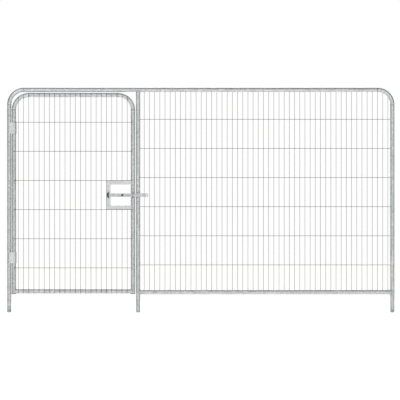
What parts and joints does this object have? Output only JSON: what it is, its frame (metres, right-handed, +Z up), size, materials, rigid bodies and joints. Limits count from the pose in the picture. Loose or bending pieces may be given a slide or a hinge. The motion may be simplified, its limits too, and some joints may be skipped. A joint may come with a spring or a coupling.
{
  "type": "livestock panel gate",
  "caption": "Tube and mesh livestock panel, held at its feet, with a swinging walk-through gate, wrap-round hinges, a hand-hole plate and a sliding bolt.",
  "frame": {"origin": "middle of the hinge post where it meets the ground", "axes": "+X along the panel from the hinge post to the end post, +Y from the front face (bolt side) to the back, +Z up"},
  "size_m": [3.45, 0.1035, 2],
  "materials": {
    "galvanised_tube": "hot-dip galvanised, dull; colour guessed",
    "mesh_wire": "drawn and galvanised, gone dark outdoors; colour guessed",
    "galvanised_plate": "hot-dip galvanised plate; colour guessed",
    "bolt_steel": "zinc plated, worn by sliding; colour guessed",
    "black_plastic": "moulded, matt; colour guessed",
    "dark_steel": "zinc plate, black passivated; colour guessed"
  },
  "bodies": {
    "panel": {"hinge_post": "galvanised_tube", "end_post": "galvanised_tube", "latch_post": "galvanised_tube", "top_rail": "galvanised_tube", "top_left_bend": "galvanised_tube", "top_right_bend": "galvanised_tube", "fixed_bottom_rail": "galvanised_tube", "fixed_mesh_upright_wires": "mesh_wire", "fixed_mesh_cross_wires": "mesh_wire", "lower_hinge_strap": "galvanised_plate", "upper_hinge_strap": "galvanised_plate"},
    "gate": {"gate_hinge_stile": "galvanised_tube", "gate_latch_stile": "galvanised_tube", "gate_top_left_bend": "galvanised_tube", "gate_top_right_bend": "galvanised_tube", "gate_top_rail": "galvanised_tube", "gate_bottom_rail": "galvanised_tube", "gate_mesh_upright_wires": "mesh_wire", "gate_mesh_cross_wires": "mesh_wire", "lower_hinge_lug": "galvanised_plate", "upper_hinge_lug": "galvanised_plate", "hand_hole_plate": "galvanised_plate", "left_bolt_guide": "dark_steel", "right_bolt_guide": "dark_steel", "hinge_stile_plug": "black_plastic", "latch_stile_plug": "black_plastic"},
    "bolt": {"bolt_bar": "bolt_steel", "bolt_end_stop": "dark_steel", "bolt_handle": "dark_steel"}
  },
  "joints": [
    {"name": "gate_swing", "type": "hinge", "parent": "panel", "child": "gate", "pos_m": [0.042, 0, 0], "axis": [0, 0, -1], "range_deg": [0, 95]},
    {"name": "bolt_slide", "type": "slide", "parent": "gate", "child": "bolt", "axis": [-1, 0, 0], "range_m": [0, 0.112]}
  ]
}
